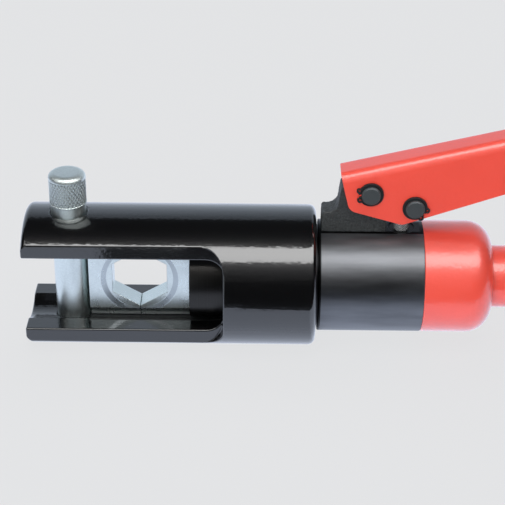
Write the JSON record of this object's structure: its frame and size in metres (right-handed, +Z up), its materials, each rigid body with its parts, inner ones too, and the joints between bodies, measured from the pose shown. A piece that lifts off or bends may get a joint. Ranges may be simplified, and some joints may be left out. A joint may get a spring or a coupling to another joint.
{
  "type": "hydraulic crimping tool",
  "caption": "Hand-pumped hydraulic crimping tool: open head with hexagonal dies and a pull-out locking pin, pump body, hinged lever and tube handle.",
  "frame": {"origin": "centre of the closed hexagonal crimp cavity, where the two half dies meet", "axes": "+X along the tool from the head towards the handle, +Y along the cable, away from the picture's viewer, +Z up towards the lever"},
  "size_m": [0.4622, 0.065, 0.1626],
  "materials": {
    "head_paint": "gloss black paint",
    "zinc_plate": "bluish bright zinc plate",
    "ram_black": "satin black oxide",
    "pump_steel": "dark turned steel",
    "cast_black": "rough black casting",
    "black_oxide": "black oxide",
    "bright_steel": "polished steel",
    "red_paint": "semi-gloss red paint",
    "bronze": "machined bronze",
    "seal_rubber": "oil-resistant rubber",
    "grip_rubber": "matte moulded rubber",
    "black_plastic": "fine moulded plastic"
  },
  "bodies": {
    "head_and_pump": {"crimp_head": "head_paint", "outer_die": "zinc_plate", "pump_cylinder": "pump_steel", "plunger_gland": "pump_steel", "fulcrum_bracket": "cast_black", "fulcrum_pin": "black_oxide", "fulcrum_circlips": "black_oxide", "head_set_screw": "black_oxide", "return_rod": "bright_steel", "return_spring": "bright_steel", "discharge_ball": "bright_steel", "discharge_spring": "bright_steel", "discharge_screw": "bright_steel", "suction_ball": "bright_steel", "suction_spring": "bright_steel", "suction_screw": "bright_steel", "relief_ball": "bright_steel", "relief_spring": "bright_steel", "bladder_clamp": "bright_steel", "vent_screw": "bright_steel", "reservoir_cap": "red_paint", "handle_tube": "red_paint", "guide_bush": "bronze", "relief_screw": "bronze", "ram_wiper": "seal_rubber", "plunger_seal": "seal_rubber", "cap_o_ring": "seal_rubber", "oil_bladder": "seal_rubber", "handle_grip": "grip_rubber", "handle_plug": "black_plastic"},
    "ram_assembly": {"ram": "ram_black", "ram_seal": "seal_rubber", "inner_die": "zinc_plate", "spring_retainer": "bright_steel"},
    "locking_pin_body": {"locking_pin": "zinc_plate"},
    "lever": {"lever_channel": "red_paint", "lever_grip": "grip_rubber", "plunger_pin": "black_oxide", "plunger_circlips": "black_oxide"},
    "pump_plunger": {"plunger": "bright_steel"},
    "release_valve": {"release_spindle": "bright_steel", "release_knob": "black_plastic"}
  },
  "joints": [
    {"name": "ram_slide", "type": "slide", "parent": "head_and_pump", "child": "ram_assembly", "axis": [1, 0, 0], "range_m": [0, 0.018]},
    {"name": "pin_pull", "type": "slide", "parent": "head_and_pump", "child": "locking_pin_body", "axis": [0, 0, 1], "range_m": [0, 0.05]},
    {"name": "lever_swing", "type": "hinge", "parent": "head_and_pump", "child": "lever", "pos_m": [0.10463, 0, 0.0462], "axis": [0, -1, 0], "range_deg": [-10, 24]},
    {"name": "plunger_slide", "type": "slide", "parent": "head_and_pump", "child": "pump_plunger", "axis": [0, 0, 1], "range_m": [-0.0036, 0.0086]},
    {"name": "release_turn", "type": "hinge", "parent": "head_and_pump", "child": "release_valve", "pos_m": [0.11004, 0.029, 0], "axis": [0, 1, 0], "range_deg": [0, 180]}
  ],
  "couplings": [
    {"joint": "plunger_slide", "follows": "lever_swing", "m_per_rad": 0.0203}
  ]
}
